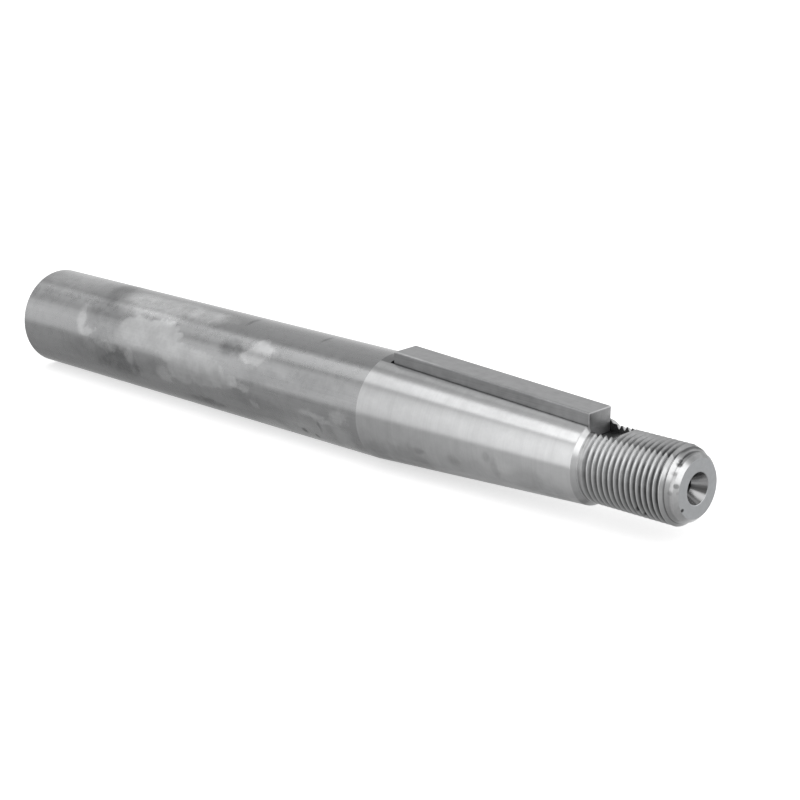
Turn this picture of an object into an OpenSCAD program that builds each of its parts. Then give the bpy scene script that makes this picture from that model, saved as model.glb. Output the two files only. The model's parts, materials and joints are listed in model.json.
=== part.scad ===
// Straight shaft with a tapered, keyed and threaded end, and its parallel key.
// The axis lies along X and the origin is on it, at the large end of the taper.
// +X points to the nose and +Z to the top of the key.

/* [Plain bar] */
// Diameter of the bar
shaft_d = 35; // [33:0.5:60]
// Length of the bar, from its far end to the taper
plain_l = 179.5; // [40:0.5:1000]
// Bevel around the bar's far end
end_bevel = 1; // [0.2:0.1:3]

/* [Taper] */
// Length of the taper
taper_l = 84.5; // [40:0.5:100]
// Length over which the diameter falls by one
taper_ratio = 10; // [9:1:30]

/* [Thread and nose] */
// Major diameter of the thread
thread_d = 24; // [22:0.5:26]
// Pitch of the thread
thread_pitch = 2; // [1.5:0.25:2.5]
// Distance from the taper's small end to the thread's first full-depth root
thread_start = 3.3; // [3:0.1:5]
// Angle of that root round the axis, from +Y towards the key
thread_turn = 10; // [0:5:360]
// Angle over which the threading tool sinks to its full depth
run_in = 290; // [90:10:360]
// Straight steps in one turn of the thread
thread_steps = 30; // [30:2:60]
// Length from the taper's small end to the nose's face
front_l = 36; // [20:0.5:80]
// Diameter of the nose in front of the thread
nose_d = 20.2; // [16:0.1:21.2]
// Length of the nose, from the foot of the thread's end bevel
nose_l = 2.4; // [2:0.1:5]
// Radius in the corner between the nose and the bevel
nose_fillet = 0.4; // [0.1:0.1:0.8]
// Bevel around the nose's face
nose_bevel = 1.15; // [0.4:0.05:1.3]

/* [Centre hole] */
// Diameter of the centre hole's mouth
centre_d = 9.8; // [7:0.1:13]
// Included angle of the centre hole's cone
centre_angle = 60; // [60:15:90]
// Diameter of the pilot drilling
pilot_d = 5; // [2:0.1:6]
// Depth of the pilot drilling's wall below the nose's face
pilot_depth = 10.5; // [8:0.5:20]
// Included angle of the drill's point
point_angle = 118; // [90:1:140]

/* [Key and keyway] */
// Width of the key
key_w = 10; // [6:0.5:14]
// Height of the key
key_h = 8; // [6.5:0.5:12]
// How deep the key sits below the taper's top line
key_depth = 5; // [3:0.25:6]
// Distance from the taper's large end back to the key's rear end, along the taper
key_rear = 5.2; // [1:0.1:30]
// How far the key's front end passes the taper's small end
key_front = 0.6; // [0:0.1:3]
// Bevel on all edges of the key
key_bevel = 0.5; // [0.2:0.1:1]
// Clearance on each side of the key
side_gap = 0.02; // [0.01:0.01:0.1]
// Gap behind the key's rear end
rear_gap = 1.2; // [0.2:0.1:4]
// Length of level floor in front of the key
front_gap = 0.2; // [0.1:0.1:3]
// Diameter of the disc cutter that leaves the rising end of the keyway
cutter_d = 32; // [24:1:60]

/* [Hidden] */
$fn = 96;
shaft_r = shaft_d / 2;
thread_r = thread_d / 2;
nose_r = nose_d / 2;
pilot_r = pilot_d / 2;
centre_r = centre_d / 2;
small_r = (shaft_d - taper_l / taper_ratio) / 2;
taper_angle = atan(1 / (2 * taper_ratio));
slope_l = taper_l / cos(taper_angle);
nose_x = taper_l + front_l;
nose_foot_x = nose_x - nose_l;
thread_end_x = nose_foot_x - (thread_r - nose_r);
fillet_back = nose_fillet * tan(45 / 2);
key_l = slope_l + key_front - key_rear;
slot_w = key_w + 2 * side_gap;
slot_rear = key_rear - rear_gap;
slot_front = slope_l + key_front + front_gap;
cutter_r = cutter_d / 2;
cone_depth = (centre_r - pilot_r) / tan(centre_angle / 2);
point_l = pilot_r / tan(point_angle / 2);
// How far a cutting shape reaches past the surface that it cuts
over = 1;
groove_depth = 0.6134 * thread_pitch;
groove_w = thread_pitch * 7 / 8;
root_w = groove_w - 2 * groove_depth * tan(30);
groove_over = 0.07 * thread_pitch;
groove_start = thread_turn - run_in;
groove_end = thread_turn + 360 * (nose_foot_x - taper_l - thread_start) / thread_pitch;
groove_count = ceil((groove_end - groove_start) / 360 * thread_steps);

// Half of the shaft's long section, as points of distance along the axis and radius
function nose_corner() = [
    for (a = [45 : -7.5 : 0])
        [nose_foot_x + fillet_back - nose_fillet * sin(a), nose_r + nose_fillet * (1 - cos(a))]
];

function shaft_outline() = concat(
    [
        [-plain_l, 0],
        [-plain_l, shaft_r - end_bevel],
        [-plain_l + end_bevel, shaft_r],
        [0, shaft_r],
        [taper_l, small_r],
        [taper_l + small_r - thread_r, thread_r],
        [thread_end_x, thread_r]
    ],
    nose_corner(),
    [
        [nose_x - nose_bevel, nose_r],
        [nose_x, nose_r - nose_bevel],
        [nose_x, 0]
    ]
);

// 0 below 0, 1 above 1 and an even rise between them
function ease(t) = let (c = min(max(t, 0), 1)) c * c * (3 - 2 * c);

// The thread groove's section at an angle round the axis, as points of distance along the axis and
// radius. It starts just above the surface and sinks in.
function groove_section(a) =
    let (
        middle = taper_l + thread_start + thread_pitch * (a - thread_turn) / 360,
        lift = 1.1 * groove_depth * (1 - ease((a - groove_start) / run_in)),
        bottom = thread_r - groove_depth + lift,
        top = thread_r + groove_over + lift,
        top_half = groove_w / 2 + groove_over * tan(30)
    ) [
        [middle - top_half, top],
        [middle - root_w / 2, bottom],
        [middle + root_w / 2, bottom],
        [middle + top_half, top]
    ];

// Turns an outline of [distance, radius] points about the X axis
module turned(outline) {
    rotate([0, 90, 0])
        rotate_extrude()
            polygon([for (p = outline) [p[1], p[0]]]);
}

// Moves its children to the taper's top line, with X running down the slope
module on_taper() {
    translate([0, 0, shaft_r])
        rotate([0, taper_angle, 0])
            children();
}

// Rectangle about the origin with its four corners cut
module cut_rectangle(w, h, cut) {
    polygon([
        [-w / 2 + cut, -h / 2], [w / 2 - cut, -h / 2],
        [w / 2, -h / 2 + cut], [w / 2, h / 2 - cut],
        [w / 2 - cut, h / 2], [-w / 2 + cut, h / 2],
        [-w / 2, h / 2 - cut], [-w / 2, -h / 2 + cut]
    ]);
}

// 60-degree centre drilling in the nose's face
module centre_hole() {
    turned([
        [nose_x + over, 0],
        [nose_x + over, centre_r],
        [nose_x, centre_r],
        [nose_x - cone_depth, pilot_r],
        [nose_x - pilot_depth, pilot_r],
        [nose_x - pilot_depth - point_l, 0]
    ]);
}

// Slot with a square rear end, and a floor that rises out of the thread in front
module keyway() {
    on_taper() {
        translate([slot_rear, -slot_w / 2, -key_depth])
            cube([slot_front - slot_rear, slot_w, key_depth + cutter_r]);
        translate([slot_front, 0, cutter_r - key_depth])
            rotate([90, 0, 0])
                cylinder(r = cutter_r, h = slot_w, center = true);
    }
}

// The space that the threading tool sweeps, as sections along a right-handed helix
module thread_groove() {
    angles = [for (i = [0 : groove_count]) groove_start + i * 360 / thread_steps];
    points = [for (a = angles) for (p = groove_section(a)) [p[0], p[1] * cos(a), p[1] * sin(a)]];
    last = 4 * groove_count;
    sides = [
        for (i = [0 : 4 : last - 4])
            for (j = [0 : 3])
                let (k = (j + 1) % 4)
                    for (face = [[i + j, i + k + 4, i + k], [i + j, i + j + 4, i + k + 4]])
                        face
    ];
    polyhedron(points, concat([[0, 1, 2, 3]], sides, [[last + 3, last + 2, last + 1, last]]));
}

module shaft() {
    color([0.56, 0.57, 0.58])
        difference() {
            turned(shaft_outline());
            thread_groove();
            keyway();
            centre_hole();
        }
}

module key() {
    color([0.47, 0.48, 0.49])
        on_taper()
            translate([key_rear + key_l / 2, 0, key_h / 2 - key_depth])
                intersection() {
                    linear_extrude(height = key_h, center = true)
                        cut_rectangle(key_l, key_w, key_bevel);
                    rotate([90, 0, 0])
                        linear_extrude(height = key_w, center = true)
                            cut_rectangle(key_l, key_h, key_bevel);
                    rotate([0, 90, 0])
                        linear_extrude(height = key_l, center = true)
                            cut_rectangle(key_h, key_w, key_bevel);
                }
}

shaft();
key();
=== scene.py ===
"""Dresses a straight shaft with a tapered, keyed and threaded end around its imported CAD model.

The axis lies along X, the nose points to +X and the key is on top. Lengths are in metres. An angle round
the axis is 0 at +Y and a quarter turn at +Z. The side at -Y is called the near side.
"""

import json
import math

import bmesh
import bpy
import numpy as np
from bpy.props import FloatProperty, FloatVectorProperty, IntProperty, PointerProperty
from mathutils import Matrix, Vector


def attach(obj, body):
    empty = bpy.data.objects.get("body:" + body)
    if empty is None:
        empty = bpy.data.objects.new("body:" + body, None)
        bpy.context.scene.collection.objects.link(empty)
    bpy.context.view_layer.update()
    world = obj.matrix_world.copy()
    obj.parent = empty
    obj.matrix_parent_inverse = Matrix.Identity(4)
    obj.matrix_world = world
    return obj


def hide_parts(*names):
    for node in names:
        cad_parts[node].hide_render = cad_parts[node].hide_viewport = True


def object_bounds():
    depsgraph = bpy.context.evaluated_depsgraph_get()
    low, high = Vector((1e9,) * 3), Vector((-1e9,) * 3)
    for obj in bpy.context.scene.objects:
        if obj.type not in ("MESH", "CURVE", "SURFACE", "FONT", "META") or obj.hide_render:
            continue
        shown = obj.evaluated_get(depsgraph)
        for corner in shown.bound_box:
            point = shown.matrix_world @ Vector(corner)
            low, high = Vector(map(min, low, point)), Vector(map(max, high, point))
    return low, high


bl_info = {
    "name": "Keyed Taper Shaft",
    "version": (1, 0, 0),
    "blender": (4, 5, 0),
    "location": "3D View > Sidebar > Shaft",
    "description": "Turns, threads and finishes a straight shaft with a keyed taper, and lights it",
    "category": "Add Mesh",
}

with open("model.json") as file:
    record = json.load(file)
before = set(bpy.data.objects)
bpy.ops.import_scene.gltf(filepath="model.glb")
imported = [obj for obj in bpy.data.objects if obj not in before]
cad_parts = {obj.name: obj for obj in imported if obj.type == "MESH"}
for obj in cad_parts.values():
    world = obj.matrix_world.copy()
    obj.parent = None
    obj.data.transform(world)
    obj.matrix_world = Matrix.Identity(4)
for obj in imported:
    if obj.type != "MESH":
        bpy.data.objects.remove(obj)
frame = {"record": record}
CAD_BOX = [list(corner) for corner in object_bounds()]
BAR_BACK, NOSE_FRONT = CAD_BOX[0][0], CAD_BOX[1][0]
MM = 0.001
RADIUS = {m["name"]: m["dims"]["r_mm"] * MM for m in frame["record"]["mounts"] if "r_mm" in m["dims"]}


# Sizes and colours

def length(label, text, default):
    """A length property in metres."""
    return FloatProperty(name=label, description=text, default=default, min=0.0, precision=6, unit="LENGTH")


def angle(label, text, degrees):
    """An angle property whose default is given in degrees."""
    return FloatProperty(name=label, description=text, default=math.radians(degrees), unit="ROTATION")


def number(label, text, default):
    """A plain number property."""
    return FloatProperty(name=label, description=text, default=default, min=0.0)


def share(label, text, default):
    """A property from 0 to 1."""
    return FloatProperty(name=label, description=text, default=default, min=0.0, max=1.0, subtype="FACTOR")


def whole(label, text, default, low):
    """A whole number property."""
    return IntProperty(name=label, description=text, default=default, min=low)


def tint(label, text, default):
    """A colour property."""
    return FloatVectorProperty(
        name=label, description=text, default=default, size=3, min=0, max=1, subtype="COLOR")


class ShaftSizes(bpy.types.PropertyGroup):
    """Sizes of the turned blank."""

    bar_radius: length("Bar radius", "Radius of the plain bar", RADIUS["journal"])
    end_bevel: length("End bevel", "Bevel around the bar's far end", 1.0 * MM)
    taper_length: length("Taper length", "Length of the taper along the axis", 84.5 * MM)
    taper_ratio: number("Taper ratio", "Length over which the diameter falls by one", 10.0)
    thread_radius: length("Thread radius", "Outer radius of the thread", RADIUS["thread"])
    nose_radius: length("Nose radius", "Radius of the nose in front of the thread", 10.1 * MM)
    nose_length: length("Nose length", "Length of the nose from the foot of the thread's bevel", 2.4 * MM)
    nose_fillet: length("Nose fillet", "Radius in the corner between the bevel and the nose", 0.4 * MM)
    nose_bevel: length("Nose bevel", "Bevel around the nose's face", 1.15 * MM)
    mouth_radius: length("Mouth radius", "Radius of the centre hole's mouth", 4.9 * MM)
    cone_angle: angle("Cone angle", "Included angle of the centre hole's cone", 60)
    pilot_radius: length("Pilot radius", "Radius of the pilot drilling", RADIUS["centre_hole"])
    pilot_depth: length("Pilot depth", "Depth of the pilot's wall below the nose's face", 10.5 * MM)
    point_angle: angle("Point angle", "Included angle of the drill's point", 118)
    edge_break: length("Edge break", "Small bevel left where a file broke a sharp edge", 0.12 * MM)
    columns: whole("Columns", "Points in one turn of the blank", 256, 24)


class ThreadSizes(bpy.types.PropertyGroup):
    """Sizes of the thread groove, cut by one tool that runs along a helix."""

    pitch: length("Pitch", "Distance from one crest to the next", 2.0 * MM)
    depth: length("Depth", "Depth of the groove below the crests", 1.227 * MM)
    root_radius: length("Root radius", "Radius at the bottom of the groove", 0.289 * MM)
    crest_radius: length("Crest radius", "Radius of the worn edges of the crests", 0.16 * MM)
    half_angle: angle("Half angle", "Half of the angle between the groove's flanks", 30)
    first_root: length("First root", "Place along X where the groove first has its full depth", 87.8 * MM)
    first_turn: angle("First turn", "Angle round the axis at that place", 10)
    run_in: angle("Run in", "Turn over which the tool sinks to its full depth", 290)
    turns: number("Turns", "Full turns of the groove after that place", 15.2)
    lift: length("Lift", "How high the tool stands above its full depth at the start", 1.35 * MM)
    steps: whole("Steps", "Points in one turn of the groove", 144, 24)


class KeywaySizes(bpy.types.PropertyGroup):
    """Sizes of the keyway, measured along the taper's top line."""

    width: length("Width", "Width of the keyway", 10.04 * MM)
    depth: length("Depth", "Depth of the floor below the taper's top line", 5.0 * MM)
    rear: length("Rear", "Distance from the taper's large end to the square rear end", 4.0 * MM)
    front: length("Front", "Length of level floor past the taper's small end", 0.8 * MM)
    cutter_radius: length("Cutter radius", "Radius of the disc that left the rising front end", 16.0 * MM)
    edge_break: length("Edge break", "Bevel along the keyway's two edges on the taper", 0.35 * MM)


class KeySizes(bpy.types.PropertyGroup):
    """Sizes of the key, which lies along the taper's top line."""

    width: length("Width", "Width of the key", 10.0 * MM)
    height: length("Height", "Height of the key", 8.0 * MM)
    depth: length("Depth", "How deep the key sits below the taper's top line", 5.0 * MM)
    rear: length("Rear", "Distance from the taper's large end to the key's rear end", 5.2 * MM)
    front: length("Front", "How far the key passes the taper's small end", 0.6 * MM)
    rounding: length("Rounding", "Radius of all the key's edges", 0.4 * MM)
    rounding_steps: whole("Rounding steps", "Faces across a rounded edge", 6, 2)


class FinishSettings(bpy.types.PropertyGroup):
    """Colours and gloss of the metals. Each finish goes from its dark to its light colour."""

    bar_dark: tint("Bar, dark", "Scale and stains on the drawn bar", (0.22, 0.222, 0.226))
    bar_light: tint("Bar, light", "Rubbed clouds on the drawn bar", (0.92, 0.925, 0.93))
    bar_roughness: share("Bar roughness", "Roughness of the drawn bar", 0.28)
    taper_dark: tint("Taper, dark", "Stains on the turned taper", (0.25, 0.252, 0.256))
    taper_light: tint("Taper, light", "Clean turned steel", (0.82, 0.825, 0.83))
    taper_roughness: share("Taper roughness", "Roughness of the turned taper", 0.29)
    # The dark colour also carries painted shade at the thread's roots.
    thread_dark: tint("Thread, dark", "Old oil at the thread's roots", (0.10, 0.101, 0.103))
    thread_light: tint("Thread, light", "Clean cut steel", (0.86, 0.865, 0.87))
    thread_roughness: share("Thread roughness", "Roughness of the cut thread", 0.30)
    nose_dark: tint("Nose, dark", "Stains and the corner's shade", (0.12, 0.121, 0.123))
    nose_light: tint("Nose, light", "Clean turned steel", (0.92, 0.925, 0.93))
    nose_roughness: share("Nose roughness", "Roughness of the turned nose", 0.30)
    face_dark: tint("Face, dark", "The pit in the nose's face", (0.08, 0.081, 0.083))
    face_light: tint("Face, light", "Clean faced steel", (0.88, 0.90, 0.92))
    face_roughness: share("Face roughness", "Roughness of the nose's face", 0.38)
    hole_dark: tint("Hole, dark", "Dark bands in the centre hole", (0.05, 0.05, 0.05))
    hole_light: tint("Hole, light", "Bright bands in the centre hole", (0.92, 0.92, 0.93))
    hole_roughness: share("Hole roughness", "Roughness of the centre hole", 0.22)
    # The dark colour carries painted shade in the keyway and along its rims.
    keyway_dark: tint("Keyway, dark", "Dirt in the keyway", (0.03, 0.03, 0.032))
    keyway_light: tint("Keyway, light", "Milled steel in the keyway", (0.42, 0.422, 0.427))
    keyway_roughness: share("Keyway roughness", "Roughness of the keyway", 0.45)
    # The dark colour also carries painted shade on the key's sides and front end.
    key_dark: tint("Key, dark", "Dirt at the key's foot", (0.08, 0.081, 0.083))
    key_light: tint("Key, light", "Ground key steel", (0.66, 0.663, 0.67))
    key_roughness: share("Key roughness", "Roughness of the key", 0.40)


class StageSettings(bpy.types.PropertyGroup):
    """The camera, the floor and the softbox."""

    camera_place: FloatVectorProperty(
        name="Camera place", description="Where the camera stands", default=(0.44204, -0.43898, 0.19526),
        size=3, subtype="TRANSLATION", unit="LENGTH")
    camera_turn: angle("Camera turn", "Turn of the camera's view about Z, from +Y towards -X", 45.0316)
    camera_dip: angle("Camera dip", "How far the camera looks below the level", 17.2388)
    camera_roll: angle("Camera roll", "Roll of the camera, clockwise as it looks", 1.4224)
    camera_lens: number("Lens", "Focal length for a 36 mm frame, in mm", 91.17)
    floor_size: length("Floor size", "Side of the square floor", 12.0)
    floor_glow: share("Floor glow", "Light that the pale floor adds of its own", 0.55)
    softbox_place: FloatVectorProperty(
        name="Softbox place", description="Where the softbox hangs, facing down",
        default=(-0.58, -0.451, 1.0), size=3, subtype="TRANSLATION", unit="LENGTH")
    softbox_length: length("Softbox length", "Length of the softbox along X", 0.75)
    softbox_width: length("Softbox width", "Width of the softbox along Y", 0.55)
    softbox_brightness: number("Softbox brightness", "Power of the softbox for its area, divided by pi", 1.3)


# Finishes

class Nodes:
    """Adds nodes to a tree and links them in one line each. A value is a number, a colour or a socket."""

    def __init__(self, tree):
        self.tree = tree
        tree.nodes.clear()

    def add(self, kind, inputs=None, **settings):
        node = self.tree.nodes.new("ShaderNode" + kind)
        for name, value in settings.items():
            setattr(node, name, value)
        for name, value in (inputs or {}).items():
            self.feed(node.inputs[name], value)
        return node

    def feed(self, socket, value):
        if isinstance(value, bpy.types.NodeSocket):
            self.tree.links.new(value, socket)
        else:
            socket.default_value = value

    def math(self, operation, a, b=0.0, clamp=False):
        return self.add("Math", {0: a, 1: b}, operation=operation, use_clamp=clamp).outputs[0]

    def total(self, first, *others):
        """The sum of some values."""
        for other in others:
            first = self.math("ADD", first, other)
        return first

    def times(self, a, b):
        return self.math("MULTIPLY", a, b)

    def vector(self, operation, a, b=(0, 0, 0), c=(0, 0, 0)):
        return self.add("VectorMath", {0: a, 1: b, 2: c}, operation=operation).outputs[0]

    def between(self, value, low, high, start=0.0, end=1.0, shape="SMOOTHSTEP"):
        """start below low, end above high, and a smooth step between them."""
        inputs = {"Value": value, "From Min": low, "From Max": high, "To Min": start, "To Max": end}
        return self.add("MapRange", inputs, interpolation_type=shape).outputs["Result"]

    def window(self, value, low, high, soft):
        """1 where a value lies between two limits, with soft edges, and 0 elsewhere."""
        rise = self.between(value, low - soft, low + soft)
        return self.times(rise, self.between(value, high - soft, high + soft, 1.0, 0.0))

    def steps(self, value, stops):
        """Grey levels by a value from 0 to 1, as a ramp through the stops (place, level)."""
        ramp = self.add("ValToRGB", {"Fac": value})
        elements = ramp.color_ramp.elements
        elements.remove(elements[1])
        for place, level in stops:
            element = elements[0] if place == stops[0][0] else elements.new(place)
            element.position = place
            element.color = (level, level, level, 1)
        return ramp.outputs["Color"]

    def blend(self, amount, first, second):
        """A colour between two colours. Sockets 6 and 7 and output 2 are the node's colour sockets."""
        return self.add("Mix", {0: amount, 6: first, 7: second}, data_type="RGBA").outputs[2]

    def noise(self, vector, scale, detail=3.0, roughness=0.5):
        """Noise from -0.5 to 0.5."""
        inputs = {"Vector": vector, "Scale": scale, "Detail": detail, "Roughness": roughness}
        return self.math("SUBTRACT", self.add("TexNoise", inputs).outputs["Fac"], 0.5)


# How the edges of clouds and stains wander on a finish: a broad and a fine noise of (grain, mm, degrees)
WANDER = {
    "bar": [(0.10, 14.0, 20.0), (0.45, 4.0, 9.0)],
    "taper": [(0.25, 6.0, 22.0), (0.8, 1.5, 6.0)],
    "thread": [(0.10, 14.0, 20.0), (0.45, 4.0, 9.0)],
    "nose": [(0.3, 0.4, 4.0), (1.0, 0.2, 2.0)],
}


class Finish(Nodes):
    """A metal finish whose patterns follow the shaft: x and r in mm, and turn in degrees round the axis."""

    def __init__(self, name):
        settings = bpy.context.scene.finish_settings
        sizes = bpy.context.scene.shaft_sizes
        self.name = name
        self.dark = (*getattr(settings, name + "_dark"), 1)
        self.light = (*getattr(settings, name + "_light"), 1)
        self.roughness = getattr(settings, name + "_roughness")
        self.material = bpy.data.materials.new(name + "_finish")
        self.material.use_nodes = True
        super().__init__(self.material.node_tree)
        # Sizes of the shaft in mm, which the patterns keep to
        self.bar_radius = sizes.bar_radius / MM
        self.slope = 1 / (2 * sizes.taper_ratio)
        self.taper_end = sizes.taper_length / MM
        self.thread_radius = sizes.thread_radius / MM
        self.thread_end = (NOSE_FRONT - sizes.nose_length - sizes.thread_radius + sizes.nose_radius) / MM
        self.nose_foot = (NOSE_FRONT - sizes.nose_length) / MM
        self.rim = (NOSE_FRONT - sizes.nose_bevel) / MM
        # Places on the surface
        place = self.add("TexCoord").outputs["Object"]
        self.mm = self.vector("MULTIPLY", place, (1 / MM, 1 / MM, 1 / MM))
        self.x, self.y, self.z = self.add("SeparateXYZ", {0: self.mm}).outputs
        # The angle is taken from the near side, so that its jump lies on the far side.
        near = self.math("ARCTAN2", self.times(self.z, -1.0), self.times(self.y, -1.0))
        self.turn = self.total(self.math("DEGREES", near), 180.0)
        self.r = self.math("SQRT", self.total(self.times(self.y, self.y), self.times(self.z, self.z)))
        self.aside = self.math("ABSOLUTE", self.y)
        self.flat = self.add("CombineXYZ", {0: self.x, 1: self.turn}).outputs[0]

    def stretched(self, x, y, z):
        """The place in mm, scaled along each axis, which draws a noise out into lines or rings."""
        return self.vector("MULTIPLY", self.mm, (x, y, z))

    def cloudy(self, strength, scale, detail=3.0, roughness=0.5):
        """Noise over the surface, up to half of the strength to either side of 0."""
        return self.times(self.noise(self.mm, scale, detail, roughness), strength)

    def rings(self, fine, strength=1.0):
        """Marks of a turning tool, which run round the axis."""
        return self.times(self.noise(self.stretched(fine, 0.03, 0.03), 1.0, 2.0), strength)

    def lines(self, fine, strength=1.0):
        """Marks that run along the bar."""
        return self.times(self.noise(self.stretched(0.02, fine, fine), 1.0, 2.0), strength)

    def wandered(self, grain, x, turn):
        """A shift on the surface, as (x, turn): a noise up to half of x mm and of turn degrees."""
        inputs = {"Vector": self.mm, "Scale": grain, "Detail": 4.0, "Roughness": 0.6}
        noise = self.add("TexNoise", inputs).outputs["Color"]
        return self.vector("MULTIPLY_ADD", noise, (x, turn, 0), (-x / 2, -turn / 2, 0))

    def shift(self):
        """The sum of the finish's broad and fine wandering."""
        broad, fine = WANDER[self.name]
        return self.vector("ADD", self.wandered(*broad), self.wandered(*fine))

    def patch(self, shift, soft, drift, ovals):
        """1 within some ovals (x, turn, half length, half turn) that run together, and 0 outside them. Their
        edge wanders with the shift and a noise, both scaled by the drift."""
        place = self.vector("MULTIPLY_ADD", shift, (drift, drift, 0), self.flat)
        nearest = 9.0
        for x, turn, half_x, half_turn in ovals:
            scale = (1 / half_x, 1 / half_turn, 0)
            scaled = self.vector("MULTIPLY_ADD", place, scale, (-x / half_x, -turn / half_turn, 0))
            distance = self.add("VectorMath", {0: scaled}, operation="LENGTH").outputs["Value"]
            nearest = self.math("MINIMUM", nearest, distance)
        ragged = self.cloudy(1.6 * drift, 0.2, 6.0, 0.62)
        return self.between(self.total(nearest, ragged), 1.0 - soft, 1.0 + soft, 1.0, 0.0)

    def with_stains_and_shade(self, tone, stains):
        """Adds clouds, stains and painted shade to a tone. Each is (strength, softness, drift, ovals): its
        ovals run together, and its drift is how far its edge wanders, from 0 to 1. A noise varies its
        strength."""
        shift = self.shift()
        inner = self.between(self.noise(self.mm, 0.22, 5.0, 0.65), -0.25, 0.25, 0.6, 1.25)
        for strength, soft, drift, ovals in stains:
            shape = self.patch(shift, soft, drift, ovals)
            tone = self.total(tone, self.times(self.times(shape, inner), strength))
        return tone

    def by_keyway(self, aside, height):
        """1 along the keyway's edges: up to a distance from the middle plane and above a height, in mm."""
        beside = self.between(self.aside, aside, 5.9, 1.0, 0.0)
        return self.times(beside, self.between(self.z, height, height + 2))

    def bump(self, height, depth_mm):
        """A surface normal from a height that goes from -0.5 to 0.5 over the given depth."""
        inputs = {"Height": height, "Distance": depth_mm * MM, "Strength": 1.0}
        return self.add("Bump", inputs).outputs[0]

    def steel(self, tone, normal, stretch=0.0, roughness=None):
        """Closes the material. The tone goes from the dark to the light colour, and stretch is how much
        longer the gloss is along the axis than around it."""
        color = self.blend(self.math("ADD", tone, 0.0, clamp=True), self.dark, self.light)
        inputs = {"Base Color": color, "Metallic": 1.0, "Normal": normal}
        inputs["Roughness"] = self.roughness if roughness is None else roughness
        if stretch:
            inputs["Anisotropic"] = stretch
            inputs["Anisotropic Rotation"] = 0.25
            inputs["Tangent"] = self.add("Tangent", direction_type="RADIAL", axis="X").outputs[0]
        shader = self.add("BsdfPrincipled", inputs)
        self.add("OutputMaterial", {"Surface": shader.outputs[0]})
        return self.material


# An oval is (x, turn, half length, half turn), in mm and degrees. These make the bar's large matt cloud.
MATT_CLOUD = [
    (-113, 150, 10, 18), (-101, 150, 12, 20), (-88, 165, 9, 16), (-86, 180, 7, 17),
    (-77, 174, 10, 20), (-69, 178, 7, 14), (-63, 180, 5, 8),
]
# Clouds, stains and painted shade as (strength, softness, drift, ovals)
BAR_CLOUDS = [
    (0.24, 0.16, 0.6, MATT_CLOUD),
    (0.22, 0.25, 0.7, [(-50, 133, 6, 9), (-50, 140, 6, 11), (-55, 147, 4, 7)]),
    (0.55, 0.60, 0.5, [(-110, 110, 22, 16), (-89, 108, 14, 12)]),
    (0.24, 0.60, 0.5, [(-162, 100, 18, 20)]),
    (0.18, 0.35, 0.9, [(-145, 152, 3, 16), (-140, 166, 5, 6), (-96, 193, 5, 8),
                       (-116, 183, 3, 9), (-57, 181, 5, 4), (-130, 178, 4, 6)]),
    (0.20, 0.50, 0.8, [(-21, 190, 6, 4), (-16, 195, 4, 3), (-49, 197, 2, 4), (-8, 186, 3, 8)]),
    (0.20, 0.55, 0.5, [(-44, 225, 8, 9), (-25, 218, 11, 18), (-9, 214, 4, 20)]),
    (-0.20, 0.50, 0.7, [(-135, 98, 4.5, 24), (-64, 142, 5, 10), (-123, 196, 12, 18), (-78, 217, 9, 6)]),
    (-0.09, 0.45, 0.8, [(-138, 192, 14, 16), (-104, 190, 9, 9), (-52, 194, 12, 8),
                        (-44, 164, 12, 9), (-20, 156, 14, 9)]),
    (-0.20, 0.60, 0.2, [(-65, 95, 1.0, 10), (-29, 95, 0.6, 8), (-19, 204, 0.5, 8)]),
    (-0.12, 0.35, 0.6, [(-133, 146, 9, 32)]),
    (-0.45, 0.50, 0.1, [(-28, 218, 1.2, 4), (-23, 223, 0.8, 4)]),
]
TAPER_STAINS_AND_SHADE = [
    (-0.22, 0.60, 0.6, [(7, 218, 8, 14), (20, 217, 8, 18), (69, 211, 7, 18), (78, 222, 8, 14)]),
    (-0.10, 0.60, 0.8, [(44, 207, 6, 14), (28, 222, 5, 10), (60, 226, 9, 8)]),
    (-0.18, 0.60, 0.3, [(12, 234, 14, 8), (44, 236, 22, 7), (76, 234, 12, 8)]),
    (-0.20, 0.55, 0.35, [(25.3, 201, 2.2, 4), (39, 203, 2.4, 7), (56, 200, 1.4, 15), (53, 187, 1.6, 5)]),
    (0.08, 0.60, 0.5, [(50, 184, 3, 9), (15, 198, 2, 4), (60, 196, 3, 9)]),
    (0.20, 0.50, 0.2, [(12, 115.5, 22, 3.5), (45, 116, 26, 3.5)]),
    # Painted shade that dims the highlight band on the taper's top
    (-0.17, 0.60, 0.2, [(62, 132, 24, 7)]),
]
THREAD_STAINS = [(-0.4, 0.5, 0.0, [(106.5, 217, 1.1, 4), (108.5, 225, 1, 3)])]
NOSE_STAINS_AND_SHADE = [
    # Painted shade on the last groove's lower flank and in the corner at the foot of the thread's bevel
    (-0.36, 0.5, 0.3, [(116.6, 82, 0.7, 32)]),
    (-0.36, 0.5, 0.2, [(118.05, 92, 0.25, 24)]),
    (-0.55, 0.4, 0.7, [(118.5, 126, 0.8, 4), (118.1, 119, 0.5, 4), (119.8, 162, 0.6, 4)]),
    (-0.22, 0.4, 0.7, [(118.3, 143, 0.8, 4), (118.4, 175, 0.7, 4), (120.3, 174, 0.4, 3)]),
]
# The pit in the nose's face, as (y, z) in mm
PIT = (-7.1, -4.6)
# Painted reflections and shade in the centre hole: its tone by the angle round the axis, in degrees
PAINTED_HOLE_BANDS = [
    (0, 0.49), (22, 0.45), (35, 0.31), (60, 0.27), (72, 0.35), (85, 0.68), (150, 0.8), (255, 0.24),
    (292, 0.27), (302, 0.5), (320, 0.59), (328, 0.12), (338, 0.03), (350, 0.08), (360, 0.49),
]


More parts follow.
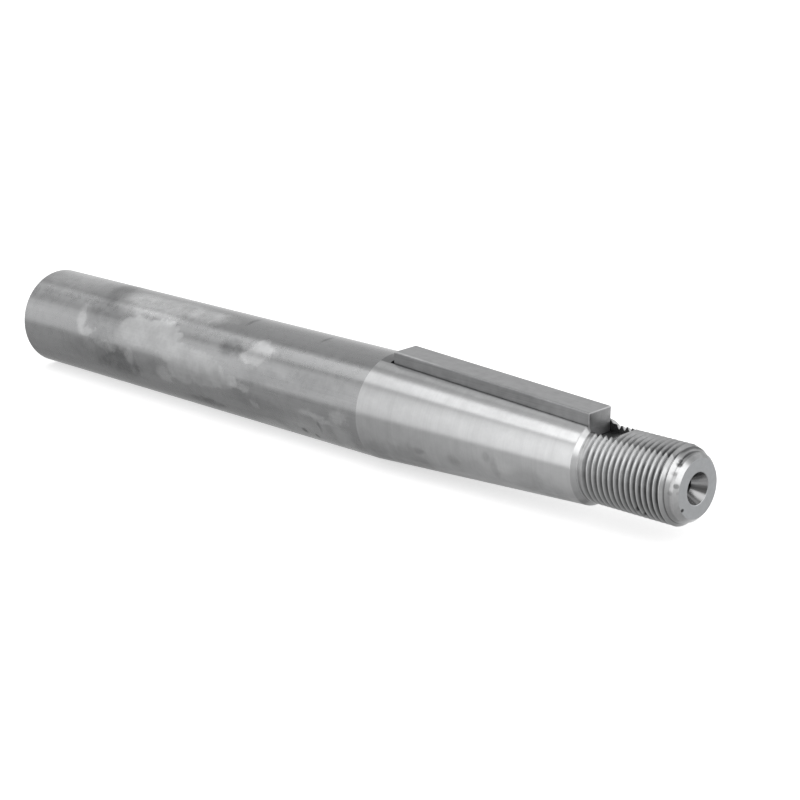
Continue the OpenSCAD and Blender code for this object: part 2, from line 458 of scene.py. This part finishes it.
def drawn_bar():
    """Cold-drawn steel: dull, with clouds where the scale was rubbed and fine lines along the bar."""
    metal = Finish("bar")
    tone = metal.total(0.27, metal.cloudy(0.11, 0.05), metal.cloudy(0.20, 0.3, 6.0, 0.62))
    tone = metal.total(tone, metal.lines(2.5, 0.10))
    tone = metal.with_stains_and_shade(tone, BAR_CLOUDS)
    matt = metal.patch(metal.shift(), 0.18, 0.6, MATT_CLOUD)
    roughness = metal.total(metal.roughness, metal.cloudy(0.12, 0.3), metal.times(matt, 0.26))
    normal = metal.bump(metal.total(metal.lines(3.0), metal.noise(metal.mm, 1.5)), 0.0018)
    return metal.steel(tone, normal, 0.8, roughness)


def turned_taper():
    """Finely turned steel: bright, with faint rings, and with stains and painted shade low on the near side.
    """
    metal = Finish("taper")
    tone = metal.between(metal.x, 5, metal.taper_end - 0.5, 0.51, 0.87, "LINEAR")
    tone = metal.total(tone, metal.rings(0.35, 0.12), metal.rings(2.0, 0.10))
    tone = metal.total(tone, metal.cloudy(0.30, 0.25, 5.0, 0.65))
    tone = metal.with_stains_and_shade(tone, TAPER_STAINS_AND_SHADE)
    # Painted shade and dirt darken the taper along the keyway's edges, and painted shade darkens the
    # underside.
    tone = metal.total(tone, metal.times(metal.by_keyway(5.3, 8.0), -0.5))
    tone = metal.total(tone, metal.between(metal.turn, 222, 240, 0.0, -0.36))
    # Painted shade also darkens the bevel's top at the taper's small end.
    bevel = metal.between(metal.x, metal.taper_end - 0.1, metal.taper_end + 0.2)
    bevel_top = metal.times(bevel, metal.window(metal.turn, 40, 130, 3.0))
    tone = metal.total(tone, metal.times(bevel_top, -0.35))
    return metal.steel(tone, metal.bump(metal.rings(5.0), 0.0015), 0.85)


def cut_thread():
    """Steel cut by a threading tool: bright on the crests, darker at the roots with old oil and painted
    shade.
    """
    metal = Finish("thread")
    # The roots are lighter towards the taper, and painted light makes them lighter towards the top.
    root = metal.between(metal.x, metal.taper_end + 3.5, metal.thread_end - 0.2, 0.34, 0.12, "LINEAR")
    root = metal.total(root, metal.times(metal.window(metal.turn, 60, 142, 6.0), 0.26))
    top = metal.between(metal.turn, 112, 132, 0.40, 0.0)
    root = metal.total(root, metal.times(top, metal.between(metal.x, 102, 115, 1.0, 0.65)))
    # Painted shade dims two stripes of the crests along the axis, where highlights fall.
    crest = metal.total(0.85, metal.times(metal.window(metal.turn, 118, 141, 5.0), -0.26))
    crest = metal.total(crest, metal.times(metal.window(metal.turn, 158, 171, 4.0), -0.12))
    # The shallow first groove is darker up to its edges, and the last one only at its very root.
    first = metal.between(metal.x, metal.taper_end + 3.1, metal.taper_end + 4.1, 1.0, 0.0)
    last = metal.between(metal.x, metal.thread_end - 0.9, metal.thread_end - 0.4)
    crest = metal.total(crest, metal.times(first, metal.total(metal.rings(3.5, 0.7), -0.25)))
    low = metal.total(metal.thread_radius - 0.8, metal.times(first, 0.45), metal.times(last, -0.5))
    high = metal.total(metal.thread_radius - 0.05, metal.times(last, -0.75))
    above = metal.between(metal.r, low, high)
    tone = metal.total(root, metal.times(above, metal.math("SUBTRACT", crest, root)))
    tone = metal.total(tone, metal.cloudy(0.28, 0.5, 4.0, 0.6))
    tone = metal.with_stains_and_shade(tone, THREAD_STAINS)
    # Painted shade darkens the thread's teeth along the keyway's edges.
    tone = metal.total(tone, metal.times(metal.by_keyway(5.1, 7.0), -0.55))
    return metal.steel(tone, metal.bump(metal.noise(metal.mm, 2.5), 0.004), 0.3)


def turned_nose():
    """The nose's bevel, corner and rim, turned bright, with a painted highlight on the rim and painted shade
    in the corner and on the top.
    """
    metal = Finish("nose")
    rim = metal.between(metal.x, metal.rim - 0.15, metal.rim + 0.15)
    # A painted highlight along the rim on the near side
    painted_rim_highlight = metal.times(rim, metal.between(metal.turn, 146, 162, 0.02, 0.26))
    tone = metal.total(0.66, metal.cloudy(0.22, 0.9, 4.0), painted_rim_highlight)
    # Painted shade in the corner at the foot of the thread's bevel, and on the top
    corner = metal.window(metal.x, metal.nose_foot - 0.2, metal.nose_foot + 0.3, 0.2)
    tone = metal.total(tone, metal.times(corner, -0.12))
    tone = metal.total(tone, metal.between(metal.turn, 100, 126, -0.44, 0.0))
    tone = metal.with_stains_and_shade(tone, NOSE_STAINS_AND_SHADE)
    return metal.steel(tone, metal.bump(metal.rings(4.0), 0.002), 0.7)


def faced_nose():
    """The nose's face, faced off dull, with a small pit near its rim."""
    metal = Finish("face")
    tone = metal.total(0.66, metal.cloudy(0.20, 0.7, 5.0, 0.6))
    # The pit is half as long again across as it is high.
    pit_y = metal.math("SUBTRACT", metal.y, PIT[0])
    pit_z = metal.times(metal.math("SUBTRACT", metal.z, PIT[1]), 1.5)
    pit = metal.math("SQRT", metal.total(metal.times(pit_y, pit_y), metal.times(pit_z, pit_z)))
    tone = metal.total(tone, metal.between(pit, 0.45, 1.05, -0.70, 0.0))
    rings = metal.noise(metal.add("CombineXYZ", {0: metal.times(metal.r, 4.0)}).outputs[0], 1.0, 2.0)
    tone = metal.total(tone, metal.times(rings, 0.10))
    return metal.steel(tone, metal.bump(rings, 0.002))


def drilled_hole():
    """The centre hole, with broad bands of painted reflection and shade, and streaks from its mouth to its
    point.
    """
    metal = Finish("hole")
    around = {0: metal.times(metal.turn, 0.12), 1: metal.times(metal.x, 0.12)}
    streaks = metal.noise(metal.add("CombineXYZ", around).outputs[0], 1.0)
    stops = [(turn / 360, level) for turn, level in PAINTED_HOLE_BANDS]
    bands = metal.steps(metal.times(metal.turn, 1 / 360), stops)
    tone = metal.total(bands, metal.times(streaks, 0.25))
    return metal.steel(tone, metal.bump(streaks, 0.01))


def milled_keyway():
    """The keyway, milled and darkened with painted shade, lighter where its floor rises through the thread.
    """
    metal = Finish("keyway")
    floor = metal.between(metal.x, metal.taper_end + 1.5, metal.taper_end + 10.5, 0.22, 0.55)
    tone = metal.total(floor, metal.cloudy(0.4, 1.2, 4.0))
    return metal.steel(tone, metal.bump(metal.noise(metal.mm, 3.0), 0.01))


def ground_key():
    """Matte key steel with fine lines along the key. Painted shade darkens its sides, most at its foot, and
    its front end has painted light and shade, darker towards the near end corner.
    """
    metal = Finish("key")
    tone = metal.total(0.59, metal.lines(3.0, 0.22), metal.cloudy(0.25, 0.35, 4.0))
    # Painted shade darkens the sides, most at the foot and least near the front end.
    above_taper = metal.total(metal.r, metal.times(metal.x, metal.slope), -metal.bar_radius)
    side = metal.between(metal.aside, 4.75, 4.97)
    shade = metal.between(above_taper, -1.0, 1.0, -0.40, -0.21)
    shade = metal.total(shade, metal.between(metal.x, 60, 76, 0.0, 0.09))
    tone = metal.total(tone, metal.times(side, shade))
    # The rear of the near top edge is rubbed bright.
    near_edge = metal.between(metal.y, -5.0, -3.6, 1.0, 0.0)
    rubbed = metal.times(near_edge, metal.between(metal.x, 14, 34, 0.40, -0.10))
    tone = metal.total(tone, metal.times(rubbed, metal.math("SUBTRACT", 1.0, side)))
    # Painted light and shade on the front end make it darker towards its near top corner and lighter low
    # down. It stands square to the taper's top line, so the place along that line allows for the lean.
    lean = metal.times(metal.total(metal.z, -metal.bar_radius), -metal.slope)
    along = metal.total(metal.x, lean)
    front = metal.between(along, metal.taper_end + 0.5, metal.taper_end + 0.7)
    slant = metal.times(metal.y, metal.between(metal.z, 12.2, 14.3, -0.04, 0.045, "LINEAR"))
    slant = metal.total(slant, 0.04, metal.between(metal.z, 11.2, 12.3, 0.30, 0.0))
    tone = metal.total(tone, metal.times(front, slant))
    # Painted highlights run along the front edges above the taper.
    edge = metal.window(along, metal.taper_end + 0.45, metal.taper_end + 0.72, 0.06)
    rubbed = metal.times(edge, metal.between(metal.z, 12.6, 13.4))
    tone = metal.total(tone, metal.times(rubbed, 0.30))
    scratches = metal.noise(metal.stretched(0.5, 5.0, 2.0), 1.0)
    tone = metal.total(tone, metal.times(metal.times(front, scratches), 0.3))
    return metal.steel(tone, metal.bump(metal.lines(5.0), 0.003))


FINISHES = {
    "bar": drawn_bar,
    "taper": turned_taper,
    "thread": cut_thread,
    "nose": turned_nose,
    "face": faced_nose,
    "hole": drilled_hole,
    "keyway": milled_keyway,
    "key": ground_key,
}


def finish(name):
    """The material of a finish, made when it is first asked for."""
    ready = bpy.data.materials.get(name + "_finish")
    return ready or FINISHES[name]()


# Surfaces

def smooth(value, low, high):
    """0 below low, 1 above high and 3 t^2 - 2 t^3 between them."""
    t = np.clip((value - low) / (high - low), 0, 1)
    return t * t * (3 - 2 * t)


def grid_faces(rows, columns):
    """Four-sided faces between the rows of a grid whose columns close on themselves."""
    row, column = np.meshgrid(np.arange(rows - 1), np.arange(columns), indexing="ij")
    here = row * columns + column
    beside = row * columns + (column + 1) % columns
    return np.stack([here, beside, beside + columns, here + columns], -1).reshape(-1, 4)


def closed_piece(name, points, faces, finishes, face_finish=0, caps=()):
    """A mesh object from an array of points and one of faces, with doubles merged and all faces outward. The
    finishes are its materials, and face_finish is each face's place in their list."""
    mesh = bpy.data.meshes.new(name)
    mesh.from_pydata(points.reshape(-1, 3), [], faces.tolist() + [list(cap) for cap in caps])
    for finish_name in finishes:
        mesh.materials.append(finish(finish_name))
    mesh.polygons.foreach_set("material_index", np.zeros(len(mesh.polygons), np.int32) + face_finish)
    shell = bmesh.new()
    shell.from_mesh(mesh)
    bmesh.ops.remove_doubles(shell, verts=shell.verts, dist=1e-8)
    bmesh.ops.recalc_face_normals(shell, faces=shell.faces)
    shell.to_mesh(mesh)
    shell.free()
    piece = bpy.data.objects.new(name, mesh)
    bpy.context.scene.collection.objects.link(piece)
    return piece


def turned_piece(name, outline, columns):
    """Turns an outline about X. With the outline's points (x_i, r_i) and a_j = 2 pi j / columns, point
    (i, j) is (x_i, r_i cos a_j, r_i sin a_j). Points at r = 0 close the ends. Each point also names the
    finish of the surface that follows it."""
    x = np.array([point[0] for point in outline])[:, None]
    r = np.array([point[1] for point in outline])[:, None]
    turn = 2 * np.pi * np.arange(columns)[None, :] / columns
    points = np.stack([x + 0 * turn, r * np.cos(turn), r * np.sin(turn)], -1)
    finishes = list(dict.fromkeys(point[2] for point in outline))
    face_finish = np.repeat([finishes.index(point[2]) for point in outline[:-1]], columns)
    return closed_piece(name, points, grid_faces(len(outline), columns), finishes, face_finish)


def carried_piece(name, sections, finish_name):
    """Joins closed sections, an array of (place along the path, point of the section, 3), and caps the
    ends."""
    places, corners, _ = sections.shape
    faces = grid_faces(places, corners)
    first = range(corners)
    last = range((places - 1) * corners, places * corners)
    return closed_piece(name, sections, faces, [finish_name], caps=[first, last])


def take_out(piece, cutter):
    """Takes the cutter's shape out of the piece and deletes the cutter."""
    modifier = piece.modifiers.new("cut", "BOOLEAN")
    modifier.operation = "DIFFERENCE"
    modifier.solver = "EXACT"
    modifier.material_mode = "TRANSFER"
    modifier.object = cutter
    bpy.context.view_layer.update()
    ready = piece.evaluated_get(bpy.context.evaluated_depsgraph_get())
    mesh = bpy.data.meshes.new_from_object(ready)
    piece.modifiers.clear()
    piece.data = mesh
    bpy.data.objects.remove(cutter)


# The least angle between two faces that leaves the edge between them sharp
SHARP_ANGLE = math.radians(17)


def dress(piece, node):
    """Shades a piece smooth but for its sharp edges, and puts it in the place of a CAD node."""
    piece.data.shade_smooth()
    piece.data.set_sharp_from_angle(angle=SHARP_ANGLE)
    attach(piece, "root")
    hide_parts(node)


# The shaft

def broken_edge(before, corner, after, cut):
    """Two points that replace a corner of an outline, each at the given distance from it."""
    before, corner, after = (np.array(point) for point in (before, corner, after))
    back = before - corner
    ahead = after - corner
    return [corner + cut * back / np.linalg.norm(back), corner + cut * ahead / np.linalg.norm(ahead)]


def blank_outline(sizes):
    """Half of the blank's long section as (x, r): out over the far end's rim, along the bar, down the taper,
    the thread's cylinder, the nose, and back into the centre hole."""
    small = sizes.bar_radius - sizes.taper_length / (2 * sizes.taper_ratio)
    foot = NOSE_FRONT - sizes.nose_length
    bevel_top = foot - (sizes.thread_radius - sizes.nose_radius)
    sweep = np.radians(np.linspace(45, 0, 9))
    corner_x = foot + sizes.nose_fillet * (math.tan(math.pi / 8) - np.sin(sweep))
    corner_r = sizes.nose_radius + sizes.nose_fillet * (1 - np.cos(sweep))
    cone = (sizes.mouth_radius - sizes.pilot_radius) / math.tan(sizes.cone_angle / 2)
    pilot_end = NOSE_FRONT - sizes.pilot_depth
    point = sizes.pilot_radius / math.tan(sizes.point_angle / 2)
    bar_rim = (0.0, sizes.bar_radius)
    taper_end = (sizes.taper_length, small)
    shoulder = (sizes.taper_length + small - sizes.thread_radius, sizes.thread_radius)
    rim = (NOSE_FRONT, sizes.nose_radius - sizes.nose_bevel)
    mouth = (NOSE_FRONT, sizes.mouth_radius)
    cone_end = (NOSE_FRONT - cone, sizes.pilot_radius)
    taper_edge = broken_edge(bar_rim, taper_end, shoulder, sizes.edge_break)
    mouth_edge = broken_edge(rim, mouth, cone_end, sizes.edge_break)
    return [
        (BAR_BACK, 0.0, "bar"),
        (BAR_BACK, sizes.bar_radius - sizes.end_bevel, "bar"),
        (BAR_BACK + sizes.end_bevel, sizes.bar_radius, "bar"),
        (*bar_rim, "taper"),
        (*taper_edge[0], "taper"),
        (*taper_edge[1], "taper"),
        (*shoulder, "thread"),
        (bevel_top, sizes.thread_radius, "nose"),
        *((x, r, "nose") for x, r in zip(corner_x, corner_r)),
        (NOSE_FRONT - sizes.nose_bevel, sizes.nose_radius, "nose"),
        (*rim, "face"),
        (*mouth_edge[0], "face"),
        (*mouth_edge[1], "hole"),
        (*cone_end, "hole"),
        (pilot_end, sizes.pilot_radius, "hole"),
        (pilot_end - point, 0.0, "hole"),
    ]


def thread_groove(sizes, thread):
    """The space that the threading tool swept. The tool's section is a V with a round bottom, which flares
    at the top so that the crests' edges come out round. At the angle a the section's middle is at
    x = first root + pitch (a - first turn) / 2 pi, and all of it is raised by lift (1 - smooth(a)) while
    the tool sinks in."""
    start = thread.first_turn - thread.run_in
    end = thread.first_turn + 2 * math.pi * thread.turns
    places = int((end - start) / (2 * math.pi) * thread.steps)
    a = np.linspace(start, end, places)[:, None]
    middle = thread.first_root + thread.pitch * (a - thread.first_turn) / (2 * math.pi)
    raised = thread.lift * (1 - smooth(a, start, thread.first_turn))
    tip = np.linspace(0, math.pi / 2 - thread.half_angle, 5)
    tip_u = thread.root_radius * np.sin(tip)
    tip_r = sizes.thread_radius - thread.depth + thread.root_radius * (1 - np.cos(tip))
    # The flare is an arc that leaves the flank and ends level, just above the crests.
    flare_top = sizes.thread_radius + 0.003 * MM
    flare = np.linspace(math.pi / 2 - thread.half_angle, 0, 6)
    flare_r = flare_top - thread.crest_radius * (1 - np.cos(flare))
    flank_u = tip_u[-1] + (flare_r[0] - tip_r[-1]) * math.tan(thread.half_angle)
    flare_u = flank_u + thread.crest_radius * (math.cos(thread.half_angle) - np.sin(flare))
    half_u = np.concatenate([tip_u, flare_u, flare_u[-1:]])
    # The tool's back lies clear of the crests.
    half_r = np.concatenate([tip_r, flare_r, flare_r[-1:] + 0.15 * MM])
    u = np.concatenate([-half_u[:0:-1], half_u])
    r = np.concatenate([half_r[:0:-1], half_r]) + raised
    return carried_piece("groove", np.stack([middle + u, r * np.cos(a), r * np.sin(a)], -1), "thread")


def on_taper(sizes, u, w):
    """The x and z of a point u along the taper's top line and w above it. With the slope s of that line, x
    is u cos s + w sin s and z is bar radius - u sin s + w cos s."""
    slope = math.atan(1 / (2 * sizes.taper_ratio))
    x = u * math.cos(slope) + w * math.sin(slope)
    z = sizes.bar_radius - u * math.sin(slope) + w * math.cos(slope)
    return x, z


def slope_length(sizes):
    """The length of the taper's top line."""
    return math.hypot(sizes.taper_length, sizes.taper_length / (2 * sizes.taper_ratio))


def keyway_space(sizes, keyway):
    """The space that the milling cutter swept: an outline u along the taper's top line and w above it,
    carried across Y. Its floor is level along the taper and then rises as an arc of the cutter's radius."""
    front = slope_length(sizes) + keyway.front
    sweep = np.linspace(0, math.pi / 2, 49)
    arc_u = front + keyway.cutter_radius * np.sin(sweep)
    arc_w = keyway.cutter_radius * (1 - np.cos(sweep)) - keyway.depth
    u = np.concatenate([[keyway.rear], arc_u, [keyway.rear]])
    w = np.concatenate([[-keyway.depth], arc_w, arc_w[-1:]])
    x, z = on_taper(sizes, u, w)
    side = np.array([-0.5, 0.5])[:, None] * keyway.width
    return carried_piece("keyway", np.stack([x + 0 * side, side + 0 * x, z + 0 * side], -1), "keyway")


def keyway_rims(sizes, keyway):
    """The space that a file took from the keyway's two edges on the taper. With R(x) the taper's radius and
    w the keyway's half width, the edges run at the height sqrt(R(x)^2 - w^2), and the section is a
    trapezium whose slanting sides pass them at 45 degrees."""
    inside = 0.05 * MM
    over = 0.3 * MM
    x = np.linspace(keyway.rear + inside, sizes.taper_length + over, 17)[:, None]
    half = keyway.width / 2
    wide = half + over + keyway.edge_break
    edge = np.sqrt((sizes.bar_radius - x / (2 * sizes.taper_ratio)) ** 2 - half ** 2)
    y = np.array([[-wide, -half, half, wide]]) + 0 * x
    z = edge + np.array([[over, -keyway.edge_break, -keyway.edge_break, over]])
    # The rims take the keyway's dark finish, as painted shade along the seam beside the key.
    return carried_piece("rims", np.stack([x + 0 * y, y, z], -1), "keyway")


def rounded_key(sizes, key):
    """The key as a box with rounded edges, in the plane of the taper's top line. A row at the angle a of the
    end rounding stands r (1 - sin a) inside the end, and its section is a rectangle with corners of radius
    r cos a. Extra points just past each rounding keep the flat faces flat in the shading."""
    key_length = slope_length(sizes) + key.front - key.rear
    r = key.rounding
    hold = 0.15 * MM
    sweep = np.linspace(math.pi / 2, 0, key.rounding_steps + 1)
    # Rows of (distance inside the end, corner radius, inset of the corner's middle)
    rows = [(0, 0, hold), *((r * (1 - math.sin(a)), r * math.cos(a), 0) for a in sweep), (r + hold, r, 0)]
    inside, radius, inset = np.array(rows + rows[::-1]).T[:, :, None]
    inside[len(rows):] = key_length - inside[len(rows):]
    quarter = sweep[::-1]
    corner = np.concatenate([quarter[:1], quarter, quarter[-1:]])
    turn = np.concatenate([corner + i * math.pi / 2 for i in range(4)])
    along = np.tile(np.concatenate([[-hold], np.zeros(len(quarter)), [hold]]), 4)
    side = np.repeat(np.array([[1, 1], [-1, 1], [-1, -1], [1, -1]]), len(corner), axis=0)
    y = side[:, 0] * (key.width / 2 - r - inset) + radius * np.cos(turn) - along * np.sin(turn)
    w = side[:, 1] * (key.height / 2 - r - inset) + radius * np.sin(turn) + along * np.cos(turn)
    x, z = on_taper(sizes, key.rear + inside + 0 * y, w + key.height / 2 - key.depth)
    return carried_piece("parallel_key", np.stack([x, y, z], -1), "key")


# The stage

def lay_floor(settings):
    """A flat square that the bar lies on, as a grid of points (x_i, y_j, lowest point of the bar)."""
    across = 13
    side = np.linspace(-settings.floor_size / 2, settings.floor_size / 2, across)
    x, y = np.meshgrid(side, side, indexing="ij")
    points = np.stack([x, y, np.full_like(x, CAD_BOX[0][2])], -1).reshape(-1, 3)
    row, column = np.meshgrid(np.arange(across - 1), np.arange(across - 1), indexing="ij")
    here = (row * across + column).ravel()
    faces = np.stack([here, here + across, here + across + 1, here + 1], -1)
    mesh = bpy.data.meshes.new("floor")
    mesh.from_pydata(points, [], faces.tolist())
    floor = bpy.data.objects.new("floor", mesh)
    bpy.context.scene.collection.objects.link(floor)
    floor.visible_glossy = False
    material = bpy.data.materials.new("pale_floor")
    material.use_nodes = True
    shader = material.node_tree.nodes["Principled BSDF"]
    shader.inputs["Base Color"].default_value = (0.85, 0.85, 0.85, 1)
    shader.inputs["Roughness"].default_value = 0.9
    shader.inputs["Specular IOR Level"].default_value = 0.0
    shader.inputs["Emission Color"].default_value = (1, 1, 1, 1)
    shader.inputs["Emission Strength"].default_value = settings.floor_glow
    mesh.materials.append(material)


def hang_softbox(settings):
    """A flat rectangular light that faces down. Its power follows from its brightness."""
    data = bpy.data.lights.new("top_softbox", "AREA")
    data.shape = "RECTANGLE"
    data.size = settings.softbox_length
    data.size_y = settings.softbox_width
    data.energy = settings.softbox_brightness * math.pi * data.size * data.size_y
    light = bpy.data.objects.new("top_softbox", data)
    light.location = settings.softbox_place
    light.visible_camera = False
    bpy.context.scene.collection.objects.link(light)


# Brightness of the light tent by the angle round the shaft's axis, in degrees, behind the bar's far end
TENT = [
    (-180, 1.0), (-173, 1.0), (-168, 0.42), (-161, 0.55), (-135, 0.5), (-95, 0.42), (-72, 0.38),
    (-50, 0.62), (-30, 0.95), (-12, 1.2), (10, 1.05), (30, 0.68), (60, 0.6), (78, 0.6), (86, 0.42),
    (92, 0.5), (124, 0.6), (130, 0.62), (136, 0.95), (156, 1.06), (180, 1.0),
]
# Strips over the bar's far part, as (lowest angle, highest angle, softness, brightness)
FAR_STRIPS = [(93, 107, 2.0, 0.42), (87, 92, 1.5, 1.5)]
# Brightness before the nose by height, from straight down at 0 to straight up at 1, on the near side
FRONT = [
    (0.0, 0.22), (0.15, 0.3), (0.25, 0.38), (0.45, 0.45), (0.54, 0.5), (0.7, 0.6), (0.85, 0.5), (1.0, 0.4),
]
# The same on the far side
FRONT_FAR = [
    (0.0, 0.2), (0.2, 0.4), (0.35, 0.6), (0.5, 0.7), (0.62, 0.9), (0.72, 1.3), (0.85, 0.9), (1.0, 0.4),
]
# Brightness of a card that stands before the nose on the near side
CARD = 1.6
# The brightness that the tent's levels are shares of
PEAK = 2.0


def raise_tent():
    """The light tent: how bright the surroundings are in each direction."""
    world = bpy.data.worlds.new("tent")
    world.use_nodes = True
    bpy.context.scene.world = world
    tent = Nodes(world.node_tree)
    direction = tent.add("TexCoord").outputs["Generated"]
    x, y, z = tent.add("SeparateXYZ", {0: direction}).outputs
    turn = tent.math("ARCTAN2", z, y)
    round_axis = tent.between(turn, -math.pi, math.pi, shape="LINEAR")
    height = tent.between(z, -1, 1, shape="LINEAR")
    behind = tent.steps(round_axis, [((degrees + 180) / 360, level / PEAK) for degrees, level in TENT])
    near_front = tent.steps(height, [(place, level / PEAK) for place, level in FRONT])
    far_front = tent.steps(height, [(place, level / PEAK) for place, level in FRONT_FAR])
    front = tent.blend(tent.between(y, 0.1, 0.5), near_front, far_front)
    card = tent.times(tent.window(y, -0.62, 0.20, 0.05), tent.window(z, 0.23, 0.97, 0.06))
    front = tent.blend(card, front, (CARD / PEAK,) * 3 + (1,))
    far_part = tent.between(x, -0.738, -0.724, 1.0, 0.0)
    degrees = tent.math("DEGREES", turn)
    for low, high, soft, level in FAR_STRIPS:
        strip = tent.times(far_part, tent.window(degrees, low, high, soft))
        behind = tent.blend(strip, behind, (level / PEAK,) * 3 + (1,))
    forward = tent.total(x, tent.times(y, 0.4))
    light = tent.blend(tent.between(forward, 0.05, 0.45), behind, front)
    background = tent.add("Background", {"Color": light, "Strength": PEAK})
    tent.add("OutputWorld", {"Surface": background.outputs[0]})


def aim_camera(settings):
    """Makes the camera from its place, turn, dip and roll."""
    turn, dip, roll = settings.camera_turn, settings.camera_dip, settings.camera_roll
    ahead = Vector((-math.sin(turn) * math.cos(dip), math.cos(turn) * math.cos(dip), -math.sin(dip)))
    level = ahead.cross(Vector((0, 0, 1))).normalized()
    above = level.cross(ahead)
    right = math.cos(roll) * level - math.sin(roll) * above
    up = right.cross(ahead)
    data = bpy.data.cameras.new("camera")
    data.lens = settings.camera_lens
    data.clip_start = 0.01
    data.clip_end = 50
    camera = bpy.data.objects.new("camera", data)
    axes = Matrix((right, up, -ahead)).transposed()
    camera.matrix_world = Matrix.Translation(settings.camera_place) @ axes.to_4x4()
    bpy.context.scene.collection.objects.link(camera)
    bpy.context.scene.camera = camera


# Operators and panel

class SHAFT_OT_turn(bpy.types.Operator):
    """Turn the blank, cut its thread and mill its keyway"""

    bl_idname = "shaft.turn"
    bl_label = "Turn the Shaft"
    bl_options = {"REGISTER", "UNDO"}

    def execute(self, context):
        sizes = context.scene.shaft_sizes
        keyway = context.scene.keyway_sizes
        shaft = turned_piece("turned_shaft", blank_outline(sizes), sizes.columns)
        take_out(shaft, thread_groove(sizes, context.scene.thread_sizes))
        take_out(shaft, keyway_space(sizes, keyway))
        take_out(shaft, keyway_rims(sizes, keyway))
        dress(shaft, "shaft")
        return {"FINISHED"}


class SHAFT_OT_key(bpy.types.Operator):
    """Make the key"""

    bl_idname = "shaft.key"
    bl_label = "Make the Key"
    bl_options = {"REGISTER", "UNDO"}

    def execute(self, context):
        key = rounded_key(context.scene.shaft_sizes, context.scene.key_sizes)
        dress(key, "key")
        return {"FINISHED"}


class SHAFT_OT_stage(bpy.types.Operator):
    """Lay the floor, hang the lights and aim the camera"""

    bl_idname = "shaft.stage"
    bl_label = "Set the Stage"
    bl_options = {"REGISTER", "UNDO"}

    def execute(self, context):
        settings = context.scene.stage_settings
        aim_camera(settings)
        lay_floor(settings)
        hang_softbox(settings)
        raise_tent()
        context.scene.view_settings.view_transform = "Standard"
        return {"FINISHED"}


class VIEW3D_PT_shaft(bpy.types.Panel):
    """Sizes, finishes and operators of the shaft"""

    bl_label = "Keyed Taper Shaft"
    bl_idname = "VIEW3D_PT_shaft"
    bl_space_type = "VIEW_3D"
    bl_region_type = "UI"
    bl_category = "Shaft"

    def draw(self, context):
        for name, kind in GROUPS.items():
            box = self.layout.box()
            box.label(text=name.replace("_", " ").capitalize())
            for setting in kind.__annotations__:
                box.prop(getattr(context.scene, name), setting)
        for operator in OPERATORS:
            self.layout.operator(operator.bl_idname)


GROUPS = {
    "shaft_sizes": ShaftSizes,
    "thread_sizes": ThreadSizes,
    "keyway_sizes": KeywaySizes,
    "key_sizes": KeySizes,
    "finish_settings": FinishSettings,
    "stage_settings": StageSettings,
}
OPERATORS = [SHAFT_OT_turn, SHAFT_OT_key, SHAFT_OT_stage]
CLASSES = [*GROUPS.values(), *OPERATORS, VIEW3D_PT_shaft]


def register():
    for kind in CLASSES:
        bpy.utils.register_class(kind)
    for name, kind in GROUPS.items():
        setattr(bpy.types.Scene, name, PointerProperty(type=kind))


def unregister():
    for name in GROUPS:
        delattr(bpy.types.Scene, name)
    for kind in reversed(CLASSES):
        bpy.utils.unregister_class(kind)


def main():
    """Builds everything in order."""
    register()
    bpy.ops.shaft.turn()
    bpy.ops.shaft.key()
    bpy.ops.shaft.stage()


if __name__ == "__main__":
    main()
